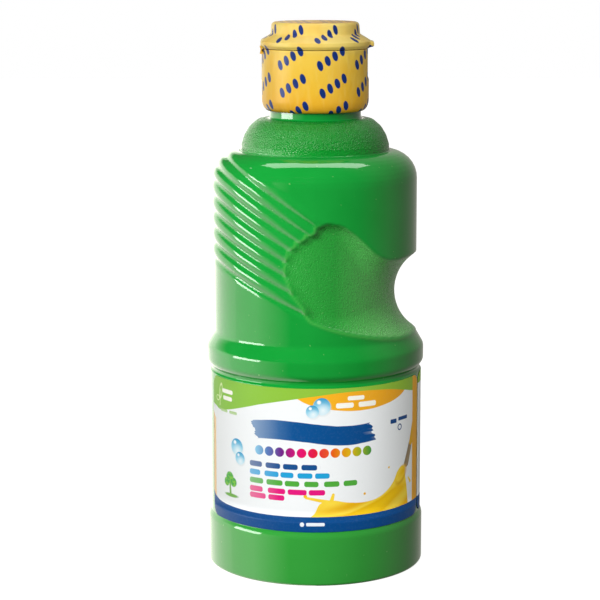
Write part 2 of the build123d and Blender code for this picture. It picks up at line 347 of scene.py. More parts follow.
def bottle_surface(outline, angles, skin):
    """Points (rows, angles, 3) of the wall drawn in by skin, with its frosted, grip and lip shares."""
    normals = outline_normals(outline)
    r0, z0 = outline[:, :1], outline[:, 1:]
    angle = np.broadcast_to(angles[None, :], (len(outline), len(angles)))
    size = np.abs((angle + 180) % 360 - 180)
    z = np.broadcast_to(z0, angle.shape)
    on_body = (z > 63.0) & (z < SHOULDER_Z + 0.6) & (r0 > 20.4 - skin)
    ribs, t = rib_height(size, z, np.maximum(r0 + skin, 20.0))
    ribs = np.where(on_body, ribs, 0) * (1.0 if skin == 0 else 0.6)
    deep = grip_distance(size, np.clip(z, 60, 105))
    scallop = np.where((t > -0.6) & (t < RIB_LAST + 0.5), 0.4 - 0.8 * np.abs(np.cos(np.pi * t)) ** 0.7, 0)
    deep = deep + smoothstep((size - 78) / 10) * smoothstep((z - 70) / 3) * scallop
    around = np.radians(size)
    floor = -GRIP_FLOOR_SHIFT * np.cos(around) + np.sqrt(
        GRIP_FLOOR_R**2 - (GRIP_FLOOR_SHIFT * np.sin(around)) ** 2)
    depth = np.maximum(BODY_R - floor, 0.0)
    depth = np.sqrt(depth**2 + 0.5**2)
    reach = 2.4 + 8.7 * smoothstep((92 - size) / 70)
    arc_r = (reach**2 + depth**2) / (2 * depth)
    short = np.clip(reach - (deep + skin), 0, reach)
    hollow = np.sqrt(arc_r**2 - short**2) - (arc_r - depth)
    hollow = np.where(deep + skin > 0, hollow, 0)
    ribs = ribs * (1 - smoothstep((deep + skin + 0.15) / 0.5))
    rim = smoothstep((size - 14) / 25) * np.where(z < 80, 1.0, smoothstep((size - 86) / 6))
    lip = np.exp(-(((deep + LIP_AT) / LIP_WIDE) ** 2)) * rim * on_body * (skin == 0)
    r = r0 + normals[:, :1] * ribs
    z = z0 + normals[:, 1:] * ribs
    r = np.where(on_body, r - hollow + LIP_HIGH * lip, r)
    r = r + SEAM_HIGH * np.exp(-(((size - SEAM_ANGLE) / 0.35) ** 2)) * (skin == 0) * (z > 1) * (z < 123)
    rad = np.radians(angle)
    points = np.stack((r * np.cos(rad), r * np.sin(rad), z), axis=-1)
    dome = smoothstep((r0 - 12.9) / 0.8) * smoothstep((20.35 - r0) / 0.25) * (z0 > 114.9)
    dish = np.where(on_body, smoothstep(deep / 0.7), 0)
    frost = np.maximum(dish, dome * np.ones_like(r))
    return points, frost, dish, lip


def bottle_angles():
    """Column angles, closer together across the grip and the ribs' ends, the same at front and back."""
    dense = np.concatenate((np.arange(32, 116, 1.1), np.arange(116, 160, 1.4)))
    side_x = np.linspace(-32, 32, 22)[1:-1]
    side_back = np.linspace(160, 200, 22)[:-1]
    return np.concatenate((side_x, dense, side_back, 360 - dense[::-1]))


def thread_height(angles, z, start_z, turns, pitch=4.2, height=0.9):
    """Helical ridge on the neck, which fades in and out over a twelfth of a turn."""
    turn = (angles[None, :] % 360) / 360
    best = np.zeros((len(z), len(angles)))
    for k in range(math.ceil(turns) + 1):
        total = turn + k
        centre = start_z + pitch * total
        ends = smoothstep(total * 12) * smoothstep((turns - total) * 12)
        off = np.abs(z[:, None] - centre)
        ridge = np.clip((0.85 - off) / 0.4, 0, 1)
        best = np.maximum(best, height * ridge * ends)
    return best


def add_bottle():
    """PET shell: outside with ribs, grip and thread, over the lip and down the inside."""
    angles = bottle_angles()

    def gap(z):
        return 0.46 if 64 < z < 100 else 0.65 if 100 <= z < 116 else 1.0 if z > 116 or 54 < z < 64 else 5.0

    outer = spaced(rounded(bottle_outline(0)), gap)
    outside, frost, dish, lip = bottle_surface(outer, angles, 0)
    neck_corners = [(NECK_R, NECK_FOOT_Z, 0), (NECK_R, NECK_TOP_Z, 0.3), (NECK_R - WALL, NECK_TOP_Z, 0.3),
                    (NECK_R - WALL, DOME_TOP_Z + 0.6, 0)]
    neck = spaced(rounded(neck_corners, 30), lambda z: 0.6)
    ridge = thread_height(angles, neck[:, 1], THREAD_LOW_Z, THREAD_TURNS)
    ridge = np.where(neck[:, :1] > NECK_R - 0.01, ridge, 0)
    rad = np.radians(angles)[None, :]
    r = neck[:, :1] + ridge
    neck_points = np.stack((r * np.cos(rad), r * np.sin(rad), neck[:, 1:] * np.ones_like(rad)), axis=-1)
    # coarse, because labels, film and paint hide it
    inner = spaced(rounded(bottle_outline(WALL), 60)[::-1], lambda z: 3.0 if 62 < z < 100 else 8.0)
    inner = inner[inner[:, 1] < DOME_TOP_Z]
    inside = bottle_surface(inner[::-1], angles, WALL)[0][::-1]
    points = np.concatenate((outside, neck_points, inside))
    rows, cols = points.shape[:2]
    rest = np.zeros((rows - len(frost), cols))
    fields = {"frost": np.concatenate((frost, rest)), "dish": np.concatenate((dish, rest)),
              "lip": np.concatenate((lip, rest)),
              "neck": np.repeat(smoothstep((points[:, :1, 2] - 123.6) / 0.6), cols, axis=1)}
    caps = [range(cols)[::-1], [(rows - 1) * cols + j for j in range(cols)]]
    piece = make_mesh("bottle_shell", points, grid_faces(rows, cols, True), fields=fields, caps=caps)
    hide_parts("bottle")
    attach(piece, "bottle")
    return piece


def add_paint():
    """The paint inside, a little clear of the wall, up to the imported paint's top."""
    angles = bottle_angles()[::2]
    skin = WALL + PAINT_GAP
    outline = spaced(rounded(bottle_outline(skin)), lambda z: 1.6 if 62 < z < 100 else 6.0)
    outline = outline[outline[:, 1] < PAINT_HI[2]]
    points = bottle_surface(outline, angles, skin)[0]
    rows, cols = points.shape[:2]
    caps = [range(cols)[::-1], [(rows - 1) * cols + j for j in range(cols)]]
    piece = make_mesh("paint_body", points, grid_faces(rows, cols, True), caps=caps)
    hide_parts("paint_fill")
    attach(piece, "bottle")
    return piece


# ---------------------------------------------------------------- materials
def srgb(r, g, b):
    """Linear colour from 0-255 screen values."""
    shares = (c / 255 for c in (r, g, b))
    return tuple(((c + 0.055) / 1.055) ** 2.4 if c > 10 / 255 else c / 12.92 for c in shares) + (1.0,)


class Field:
    """A number that varies over a surface; arithmetic on fields makes math nodes in the tree in hand."""

    tree = None

    def __init__(self, socket):
        self.socket = socket

    def __add__(self, other): return calc("ADD", self, other)
    def __radd__(self, other): return calc("ADD", other, self)
    def __sub__(self, other): return calc("SUBTRACT", self, other)
    def __rsub__(self, other): return calc("SUBTRACT", other, self)
    def __mul__(self, other): return calc("MULTIPLY", self, other)
    def __truediv__(self, other): return calc("DIVIDE", self, other)
    def __neg__(self): return calc("MULTIPLY", self, -1.0)


def add_node(kind):
    """New shader node in the tree in hand."""
    return Field.tree.nodes.new("ShaderNode" + kind)


def plug(value, socket):
    """Feeds a field, a socket or a number into a socket."""
    if isinstance(value, Field):
        value = value.socket
    if isinstance(value, bpy.types.NodeSocket):
        Field.tree.links.new(value, socket)
    else:
        socket.default_value = value


def calc(operation, *values):
    """Math node on fields and numbers."""
    node = add_node("Math")
    node.operation = operation
    for value, socket in zip(values, node.inputs):
        plug(value, socket)
    return Field(node.outputs[0])


def clamp(x):
    """x kept between 0 and 1."""
    held = calc("ADD", x, 0.0)
    held.socket.node.use_clamp = True
    return held


def both(a, b):
    """Smaller of two numbers; of two distances, the shape that is either one."""
    return calc("MINIMUM", a, b)


def either(a, b):
    """Larger of two numbers; of two distances, where the shapes overlap."""
    return calc("MAXIMUM", a, b)


def absolute(x):
    """x without its sign."""
    return calc("ABSOLUTE", x)


def vector(operation, *values):
    """Vector math node on points; numbers may be given as tuples."""
    node = add_node("VectorMath")
    node.operation = operation
    for value, socket in zip(values, node.inputs):
        if isinstance(value, tuple):
            socket.default_value = value + (0.0,) * (3 - len(value))
        else:
            plug(value, socket)
    return node


def measure(operation, *values):
    """Number that a vector math node gives, such as a length."""
    return Field(vector(operation, *values).outputs["Value"])


def ink(distance, soft=0.09):
    """1 inside a shape whose distance is negative, 0 outside, with an edge soft millimetres wide."""
    node = add_node("MapRange")
    node.inputs["From Min"].default_value = soft / 2
    node.inputs["From Max"].default_value = -soft / 2
    plug(distance, node.inputs["Value"])
    return Field(node.outputs[0])


def disc(p, centre, r):
    """Distance to a round spot."""
    return measure("DISTANCE", p, centre) - r


def oval(p, centre, radii, turn=0.0):
    """Rough distance to an ellipse turned by turn degrees."""
    if turn:
        spin = add_node("VectorRotate")
        spin.rotation_type = "Z_AXIS"
        spin.inputs["Center"].default_value = centre + (0.0,)
        spin.inputs["Angle"].default_value = -math.radians(turn)
        plug(p, spin.inputs["Vector"])
        p = spin.outputs[0]
    local = vector("SUBTRACT", p, centre).outputs[0]
    local = vector("DIVIDE", local, radii + (1.0,)).outputs[0]
    return (measure("LENGTH", local) - 1.0) * min(radii)


def bar(p, u0, u1, v0, v1, corner=0.2):
    """Distance to a rectangle with rounded corners, right outside it and near its edge."""
    local = vector("SUBTRACT", p, ((u0 + u1) / 2, (v0 + v1) / 2)).outputs[0]
    local = vector("ABSOLUTE", local).outputs[0]
    local = vector("SUBTRACT", local, ((u1 - u0) / 2 - corner, (v1 - v0) / 2 - corner)).outputs[0]
    local = vector("MAXIMUM", local, (0.0, 0.0)).outputs[0]
    return measure("LENGTH", local) - corner


def capsule(p, start, end, r0, r1):
    """Distance to a rod between two points whose radius goes from r0 to r1."""
    d = (end[0] - start[0], end[1] - start[1])
    local = vector("SUBTRACT", p, start).outputs[0]
    t = clamp(measure("DOT_PRODUCT", local, d) / (d[0] ** 2 + d[1] ** 2))
    foot = vector("SCALE", d)
    plug(t, foot.inputs["Scale"])
    away = measure("DISTANCE", local, foot.outputs[0])
    return away - r0 if r0 == r1 else away - r0 - t * (r1 - r0)


def union(*shapes):
    """Nearest of several shapes."""
    out = shapes[0]
    for shape in shapes[1:]:
        out = both(out, shape)
    return out


def noise(scale, detail=2.0, at=None):
    """Noise in object space (or at the given points), with scale in features per millimetre."""
    node = add_node("TexNoise")
    node.inputs["Scale"].default_value = scale
    node.inputs["Detail"].default_value = detail
    plug(object_mm() if at is None else at, node.inputs["Vector"])
    return Field(node.outputs["Fac"])


def object_mm():
    """Object coordinates in millimetres."""
    coords = add_node("TexCoord")
    scale = vector("SCALE", coords.outputs["Object"])
    scale.inputs["Scale"].default_value = 1 / MM
    return scale.outputs[0]


def object_part(axis):
    """Distance in millimetres along a unit axis of the object."""
    return measure("DOT_PRODUCT", object_mm(), axis)


def pair(x, y, z=0.0):
    """Vector socket from two or three fields."""
    node = add_node("CombineXYZ")
    for value, socket in zip((x, y, z), node.inputs):
        plug(value, socket)
    return node.outputs[0]


def cell_random(x, y, seed=0.0):
    """A random number for each whole (x, y)."""
    node = add_node("TexWhiteNoise")
    node.noise_dimensions = "3D"
    plug(pair(calc("FLOOR", x), calc("FLOOR", y), seed), node.inputs["Vector"])
    return Field(node.outputs["Value"])


def art_uv():
    """Point, u and v in millimetres from the piece's art map."""
    uv = add_node("UVMap")
    uv.uv_map = "art"
    point = vector("SCALE", uv.outputs[0])
    point.inputs["Scale"].default_value = UV_MM
    split = add_node("SeparateXYZ")
    plug(point.outputs[0], split.inputs[0])
    return point.outputs[0], Field(split.outputs["X"]), Field(split.outputs["Y"])


def attribute(name):
    """A number stored on the mesh's points."""
    node = add_node("Attribute")
    node.attribute_name = name
    return Field(node.outputs["Fac"])


def over(base, colour, mask):
    """Colour printed over base where mask is 1."""
    node = add_node("Mix")
    node.data_type = "RGBA"
    plug(mask, node.inputs[0])
    plug(base, node.inputs[6])
    plug(colour, node.inputs[7])
    return node.outputs[2]


def ramp(value, stops):
    """Colour that runs through (position, colour) stops."""
    node = add_node("ValToRGB")
    plug(value, node.inputs[0])
    elements = node.color_ramp.elements
    while len(elements) < len(stops):
        elements.new(0.5)
    for element, (position, colour) in zip(elements, stops):
        element.position = position
        element.color = colour
    return node.outputs[0]


def bump(height, strength, distance_mm, normal=None):
    """Normal tilted by a height field, on top of another normal if one is given."""
    node = add_node("Bump")
    node.inputs["Strength"].default_value = strength
    node.inputs["Distance"].default_value = distance_mm * MM
    plug(height, node.inputs["Height"])
    if normal is not None:
        plug(normal, node.inputs["Normal"])
    return node.outputs[0]


def new_material(name, **plain):
    """Material with a Principled shader, whose tree is then in hand; values go straight on its sockets."""
    material = bpy.data.materials.new(name)
    material.use_nodes = True
    Field.tree = material.node_tree
    shader = material.node_tree.nodes["Principled BSDF"]
    for key, value in plain.items():
        shader.inputs[key.replace("_", " ")].default_value = value
    return material, shader


def pet_material():
    """Glossy PET over green paint, frosted on the dome and in the grip, with painted sheen in the grip and
    along its lip and a painted reflection at the foot.
    """
    material, shader = new_material("pet_over_paint", IOR=1.57)
    frost, dish, neck = attribute("frost"), attribute("dish"), attribute("neck")
    cloud = noise(0.06, 3.0)
    colour = ramp(cloud, [(0.3, srgb(10, 162, 54)), (0.7, srgb(22, 170, 62))])
    colour = over(colour, srgb(0, 152, 40), frost)
    # painted sheen: the grip's frosted floor gets a lighter green that stands in for the sheen of the key
    # light
    colour = over(colour, srgb(46, 176, 64), dish)
    # painted light: the right side of the grip lighter still, as if lit from below and from the right by the
    # table
    colour = over(colour, srgb(112, 214, 110), both(dish, clamp((object_part((1.0, 0.0, 0.0)) - 5.0) / 14.0)))
    # lighter along the grip's lip: partly stress-whitened plastic, partly a painted highlight on the raised
    # lip
    colour = over(colour, srgb(110, 205, 95), attribute("lip") * 0.4)
    # painted reflection: the lowest 18 mm lighter and yellower, as if reflecting the white table
    colour = over(colour, srgb(66, 176, 66), clamp((18.0 - object_part((0.0, 0.0, 1.0))) / 4.0) * 0.7)
    colour = over(colour, srgb(10, 150, 56), neck)
    specks = clamp((noise(1.1, 0.0) - 0.83) * 14.0) * 0.7
    colour = over(colour, srgb(120, 205, 110), specks)
    plug(colour, shader.inputs["Base Color"])
    grain = noise(2.8, 1.5)
    plug(0.05 + frost * (0.17 + grain * 0.12), shader.inputs["Roughness"])
    sag = bump(noise(0.05, 1.0), 0.25, 0.5)
    plug(bump(grain * (frost - dish * 0.45), 1.0, 0.5, sag), shader.inputs["Normal"])
    return material


def paint_material():
    """Thick matt tempera."""
    material, shader = new_material("tempera", Roughness=0.4)
    cloud = noise(0.1, 3.0)
    plug(ramp(cloud, [(0.3, srgb(8, 150, 50)), (0.7, srgb(20, 170, 60))]), shader.inputs["Base Color"])
    plug(bump(noise(0.4, 2.0), 0.2, 0.2), shader.inputs["Normal"])
    return material


# ---------------------------------------------------------------- labels
LABEL_R = 29.29
LABEL_THICK = 0.1
LABEL_CORNER = 3.0
LABEL_COLS = 97
UV_MM = 100.0
FRONT_LABEL_SPAN = (-162.0, -17.5)
BACK_LABEL_SPAN = (-16.0, 178.0)
LABEL_LOW = LABEL_LO[2]
LABEL_TALL = LABEL_HI[2] - LABEL_LO[2]


def add_label(name, span, replaced):
    """Paper label over a span of angles, with rounded corners; its art is in arc mm from its middle."""
    start, end = span
    corner, cols = LABEL_CORNER, LABEL_COLS
    middle = (start + end) / 2
    half = math.radians(end - start) / 2 * LABEL_R
    edge = corner * (1 - np.cos(np.linspace(0, math.pi / 2, 7)))
    v = np.unique(np.concatenate((edge, np.linspace(corner, LABEL_TALL - corner, 12), LABEL_TALL - edge)))
    over_corner = np.maximum(corner - np.minimum(v, LABEL_TALL - v), 0)
    inset = corner - np.sqrt(corner**2 - over_corner**2)
    across = np.linspace(-1, 1, cols)
    u = across[None, :] * (half - inset)[:, None]
    phi = np.radians(middle) + u / LABEL_R
    high = np.repeat(v[:, None], cols, 1)
    inside, outside = (np.stack((r * np.cos(phi), r * np.sin(phi), high + LABEL_LOW), axis=-1)
                       for r in (LABEL_R, LABEL_R + LABEL_THICK))
    points = np.concatenate((outside, inside[::-1]))
    count = len(points)
    last = (count - 1) * cols
    left = [(i * cols, (i + 1) * cols, last - (i + 1) * cols, last - i * cols) for i in range(len(v) - 1)]
    right = [tuple(k + cols - 1 for k in f[::-1]) for f in left]
    bottom = [(j, last + j, last + j + 1, j + 1) for j in range(cols - 1)]
    uv = np.stack((u, high), axis=-1) / UV_MM
    piece = make_mesh(name, points, grid_faces(count, cols, False), uv=np.concatenate((uv, uv[::-1])),
                      caps=left + right + bottom)
    piece.data.shade_smooth()
    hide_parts(replaced)
    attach(piece, "bottle")
    return piece


def curve(x, points, lo, hi):
    """Smooth curve y(x) through points, for x between the first and last and y between lo and hi."""
    x0, x1 = points[0][0], points[-1][0]
    node = add_node("FloatCurve")
    line = node.mapping.curves[0]
    while len(line.points) < len(points):
        line.points.new(0.5, 0.5)
    for target, (a, b) in zip(line.points, points):
        target.location = ((a - x0) / (x1 - x0), (b - lo) / (hi - lo))
    node.mapping.update()
    plug((x - x0) / (x1 - x0), node.inputs["Value"])
    return Field(node.outputs[0]) * (hi - lo) + lo


def word_bars(p, u, u0, count, v0, tall, seed, pitch=5.2):
    """A row of count short rounded bars of uneven length, as a stand-in for a line of text."""
    t = (u - u0) / pitch
    cell = calc("FLOOR", t)
    node = add_node("TexWhiteNoise")
    node.noise_dimensions = "1D"
    plug(cell + seed * 7.3, node.inputs["W"])
    long = Field(node.outputs["Value"]) * (pitch * 0.1) + pitch * 0.36
    along = absolute((t - cell) * pitch - long) - long + tall * 0.4
    v = measure("DOT_PRODUCT", p, (0.0, 1.0))
    across = absolute(v - (v0 + tall / 2)) - tall * 0.1
    corner = vector("MAXIMUM", pair(along, across), (0.0, 0.0)).outputs[0]
    words = measure("LENGTH", corner) - tall * 0.4
    return either(words, (absolute(t - count / 2) - count / 2) * pitch)


RAINBOW = [(0.0, srgb(110, 195, 230)), (0.12, srgb(45, 100, 175)), (0.25, srgb(110, 25, 130)),
           (0.4, srgb(225, 10, 110)), (0.52, srgb(225, 25, 60)), (0.66, srgb(235, 95, 15)),
           (0.8, srgb(225, 180, 20)), (0.9, srgb(150, 175, 30)), (1.0, srgb(40, 145, 60))]
WHITE = srgb(243, 246, 247)
NAVY = srgb(2, 72, 136)


def add_bubble(colour, p, v, centre, r):
    """Round soap bubble: pale blue, deeper towards the top rim, with a white glint and a soft shadow."""
    cu, cv = centre
    colour = over(colour, srgb(205, 215, 220), ink(disc(p, (cu + 0.2, cv - 0.35), r), 0.5) * 0.5)
    inside = ramp(clamp((v - cv) / (2 * r) + 0.5),
                  [(0.0, srgb(205, 232, 242)), (0.45, srgb(150, 212, 234)), (1.0, srgb(20, 150, 200))])
    colour = over(colour, inside, ink(disc(p, centre, r)))
    low = ink(disc(p, (cu + 0.15 * r, cv - 0.42 * r), r * 0.42), 0.9 * r)
    colour = over(colour, srgb(245, 252, 253), low * 0.85)
    return over(colour, srgb(252, 254, 255), ink(disc(p, (cu - 0.32 * r, cv + 0.5 * r), 0.22 * r), 0.15 * r))


def front_art():
    """Colours of the front label, from the white stock up."""
    p, u, v = art_uv()
    colour = over(WHITE, srgb(250, 184, 60), ink(either(u + 34.9, v - 29.2 + (u + 37.0) * 0.9)))
    # paint splash and brush
    top = curve(u, [(-3.5, 3.0), (-0.5, 5.0), (1.2, 7.9), (3.6, 8.7), (9, 7.9), (13, 7.6), (17, 8.0),
                    (20.5, 9.4), (23.5, 11.8), (25.5, 14.6), (27.6, 15.4), (28.8, 12.5), (30.5, 3.0)], 0, 25)
    splash = union(v - top, capsule(p, (-2.6, 9.5), (3.9, 8.2), 0.32, 0.55),
                   capsule(p, (4.7, 10.3), (3.9, 7.4), 0.38, 0.7), disc(p, (-2.8, 9.9), 0.5),
                   disc(p, (13.6, 9.9), 0.36), disc(p, (21.7, 16.0), 0.3),
                   capsule(p, (30.5, 11.5), (31.6, 10.2), 0.22, 0.45))
    flow = noise(0.1, 1.0, pair(u * 0.5 - v * 0.4, v * 1.5 - u * 0.35, 3.0))
    paint = ramp(flow, [(0.32, srgb(252, 208, 20)), (0.5, srgb(244, 194, 12)), (0.58, srgb(254, 222, 70)),
                        (0.7, srgb(238, 180, 14))])
    colour = over(colour, paint, ink(splash, 0.14))
    grain = noise(0.5, 2.0, pair(u * 3.0 - v * 1.4, 0.0))
    wood = ramp(grain, [(0.35, srgb(176, 156, 122)), (0.65, srgb(118, 98, 70))])
    colour = over(colour, wood, ink(capsule(p, (29.4, 15.8), (31.6, 20.8), 1.15, 0.95), 0.14))
    colour = over(colour, srgb(214, 158, 16), ink(oval(p, (26.9, 13.0), (3.2, 1.9), 45.0), 0.6) * 0.7)
    colour = over(colour, paint, ink(oval(p, (26.6, 13.3), (2.6, 1.5), 45.0), 0.6))
    colour = over(colour, srgb(226, 172, 30), ink(capsule(p, (32.0, 21.3), (34.6, 29.5), 1.0, 0.75), 0.14))
    # top band, lens and their marks
    band = curve(u, [(-38, 31.4), (-34.7, 31.0), (-32, 30.4), (-29, 30.8), (-20.5, 32.9), (-14.7, 34.5),
                     (-4.9, 36.5), (-1.4, 37.1), (9.4, 38.2), (20, 37.8), (28.2, 36.4), (32.4, 35.5),
                     (41, 34.4)], 25, 42)
    lens = curve(u, [(-6, 37.5), (-4.9, 36.5), (0, 34.4), (4.1, 33.6), (9.5, 33.0), (14, 33.0), (18.2, 33.4),
                     (25.1, 34.9), (28.2, 36.4), (29.5, 37.5)], 25, 42)
    orange = ramp(clamp((u + 5) / 34), [(0.0, srgb(250, 182, 30)), (1.0, srgb(240, 168, 40))])
    colour = over(colour, orange, ink(lens - v))
    green = ramp(clamp((u + 37) / 76),
                 [(0.0, srgb(128, 186, 62)), (0.25, srgb(140, 194, 62)), (1.0, srgb(150, 190, 60))])
    colour = over(colour, green, ink(band - v))
    lines = union(*(word_bars(p, u, *line) for line in (
        (8.6, 1, 35.9, 1.15, 4, 6.4), (5.4, 2, 33.9, 1.4, 9, 6.3),
        (-30.4, 1, 35.4, 1.15, 5, 6.4), (-30.0, 1, 33.5, 1.15, 2, 5.0))))
    colour = over(colour, srgb(253, 252, 240), ink(lines))
    leaf = both(oval(p, (-31.4, 35.6), (0.75, 2.0), -12.0), oval(p, (-33.2, 33.4), (0.9, 0.7)))
    leaf = absolute(leaf) - 0.14
    stem = capsule(p, (-31.9, 31.6), (-31.6, 36.0), 0.12, 0.12)
    colour = over(colour, srgb(215, 235, 170), ink(both(leaf, stem)))
    colour = over(colour, srgb(150, 195, 80), ink(word_bars(p, u, -31.4, 2, 30.1, 0.8, 7, 4.4)) * 0.85)
    colour = over(colour, srgb(240, 172, 40), ink(32.9 - u))
    # title: a broad brush stroke, then a row of colour dabs
    streak = noise(0.9, 2.0, pair(u * 0.12, v * 1.3, 5.0))
    middle = 27.1 + calc("SINE", (u + 19.0) * 0.17) * 0.75
    stroke = absolute(v - middle) - 2.9 + streak * 0.6
    stroke = either(stroke, absolute(u + 0.8 + (v - 27.0) * 0.35) - 18.2 + streak * 3.0)
    # the title's navy paler towards its left end: a painted sheen
    title_navy_with_painted_sheen = ramp(clamp((u + 19) / 37), [(0.0, srgb(92, 136, 182)), (0.35, srgb(6, 80, 144)), (1.0, NAVY)])
    colour = over(colour, title_navy_with_painted_sheen, ink(stroke, 0.14) * clamp(1.35 - clamp((u - 8.0) / 14.0) * streak * 1.6))
    dab = (u + 17.4) / 3.02
    local = (dab - calc("FLOOR", dab) - 0.5) * 3.02
    dabs = either(oval(pair(local, v), (0.0, 21.75), (1.3, 1.3)), absolute(u + 0.8) - 16.6)
    colour = over(colour, ramp(clamp((u + 17.4) / 33.2), RAINBOW), ink(dabs))
    # lines of small bars
    rows = [(17.1, 4, 5.05, srgb(20, 78, 140)), (14.8, 5, 4.7, srgb(30, 160, 215)),
            (12.5, 6, 5.3, srgb(80, 170, 60)), (10.2, 4, 5.7, srgb(228, 20, 125)),
            (8.4, 2, 5.85, srgb(228, 20, 125))]
    for base, count, pitch, tint in rows:
        colour = over(colour, tint, ink(word_bars(p, u, -19.0, count, base, 1.5, base, pitch)))
    # painted sheen: the left part of the label washed towards white
    colour = over(colour, WHITE, clamp((-10.0 - u) / 14.0) * clamp((absolute(v - 18.0) - 13.0) * -1.0) * 0.3)
    # small marks
    ring = absolute(disc(p, (26.0, 26.5), 0.75)) - 0.16
    ticks = union(bar(p, 22.2, 24.6, 27.9, 29.1), bar(p, 25.4, 29.6, 28.3, 29.3), ring)
    colour = over(colour, srgb(20, 70, 130), ink(ticks))
    crown = union(disc(p, (-26.9, 12.2), 1.7), disc(p, (-28.3, 10.9), 1.2), disc(p, (-25.3, 11.2), 1.3))
    leaves = ramp(noise(1.1, 1.0, p), [(0.4, srgb(120, 190, 60)), (0.55, srgb(60, 160, 70))])
    colour = over(colour, leaves, ink(crown, 0.3))
    plant = both(capsule(p, (-26.8, 10.8), (-26.6, 7.6), 0.3, 0.45), oval(p, (-26.3, 7.4), (2.9, 0.5)))
    colour = over(colour, srgb(110, 170, 70), ink(plant, 0.2))
    for centre, r in (((-23.8, 21.4), 2.3), ((-22.6, 18.4), 1.75), ((1.6, 34.5), 2.35), ((-0.9, 33.1), 1.75)):
        colour = add_bubble(colour, p, v, centre, r)
    # navy foot
    foot = curve(u, [(-38, 8.0), (-36.5, 6.3), (-34.5, 5.2), (-31, 4.6), (-24, 4.3), (0, 4.2), (30, 4.3),
                     (41, 4.6)], 0, 10)
    colour = over(colour, NAVY, ink(v - foot))
    small = both(bar(p, -2.6, 2.4, 1.7, 2.6, 0.35), disc(p, (-3.7, 2.1), 0.6))
    return over(colour, srgb(235, 242, 248), ink(small))


def back_art():
    """Colours of the back label: the same bands, rows of small bars, four plain spots and a striped block."""
    p, u, v = art_uv()
    row = v / 2.3
    local = pair(u, (row - calc("FLOOR", row)) * 2.3)
    lines = word_bars(local, u + calc("FLOOR", row) * 3.7, -208.0, 80, 0.6, 1.0, 3)
    lines = either(lines, both(bar(p, -36, -2, 18.4, 34.5), bar(p, -2, 36, 6.9, 23.0)))
    colour = over(WHITE, srgb(70, 96, 134), ink(lines))
    spot = (u - 0.2) / 8.0
    cell = calc("FLOOR", spot)
    spot = pair((spot - cell - 0.5) * 8.0, v)
    inside = ink(absolute(u - 16.2) - 16.0)
    tint = ramp(cell_random(cell, 0.0, 2.0),
                [(0.2, srgb(250, 190, 50)), (0.5, srgb(225, 60, 120)), (0.8, srgb(40, 150, 215))])
    colour = over(colour, tint, ink(disc(spot, (0.0, 28.8), 1.4)) * inside)
    colour = over(colour, srgb(40, 150, 80), ink(absolute(disc(spot, (0.0, 28.8), 2.7)) - 0.25) * inside)
    stripe = clamp((cell_random(u * 2.4, 0.0, 3.0) - 0.5) * 40)
    colour = over(colour, srgb(25, 35, 60), ink(bar(p, -32, -12, 6.5, 16.5)) * stripe)
    colour = over(colour, srgb(145, 190, 62), ink(36.6 + calc("SINE", u * 0.06) * 0.8 - v))
    return over(colour, NAVY, ink(v - 4.3))


def label_material(name, art):
    """Coated paper: printed colours under a satin film, with a faint waviness and fibre."""
    material, shader = new_material(name, Coat_Weight=0.04, Coat_Roughness=0.3, Specular_IOR_Level=0.2)
    colour = art()
    fibre = noise(1.6, 3.0)
    plug(over(colour, srgb(190, 190, 190), clamp((fibre - 0.5) * 0.1)), shader.inputs["Base Color"])
    plug(0.42 + noise(0.5, 2.0) * 0.16, shader.inputs["Roughness"])
    plug(bump(noise(0.03, 1.0) + fibre * 0.01, 0.2, 0.4), shader.inputs["Normal"])
    return material


# ---------------------------------------------------------------- cap film
FILM_THICK = 0.22
FILM_RIM = 14.6
FILM_PATTERN = (11.46, 7.3)
FILM_ROW_START = 0.37
FILM_TILT = 32.0
FILM_DOTS = 4
FILM_DOT_PITCH = 2.42
SKIRT_ART_TALL = 17.6
PARTING_Z = 142.78
LID_BACK = 14.78
# flat below the thumb tab: (where it starts, distance from the axis); tab: (reach, low, high, half width)
SKIRT_FLAT = (134.2, 14.2)
LID_TAB = (15.9, 143.05, 144.75, 4.3)
HINGE_LOW_Z = 141.3
HINGE_TALL = 2.1
HINGE_HALF = 4.0
HINGE_FRONT_X = -14.5
HINGE_ROOT = 0.85
# window in the skirt's film at the hinge: (half width, lowest height)
HINGE_WINDOW = (4.9, 141.6)


def film_wrinkles(phi, v, rng, low, high, amount):
    """Small diagonal creases that fade away from the band of v between low and high."""
    total = np.zeros(np.broadcast(phi, v).shape)
    for _ in range(26):
        at, lean = rng.uniform(-math.pi, math.pi), rng.uniform(-0.35, 0.35)
        wide, mid, tall = rng.uniform(0.015, 0.05), rng.uniform(low, high), rng.uniform(0.6, 2.2)
        off = (phi - at - lean * (v - mid) / 14 + math.pi) % (2 * math.pi) - math.pi
        total += rng.uniform(-0.6, 1.0) * np.exp(-((off / wide) ** 2) - ((v - mid) / tall) ** 2)
    return total * amount


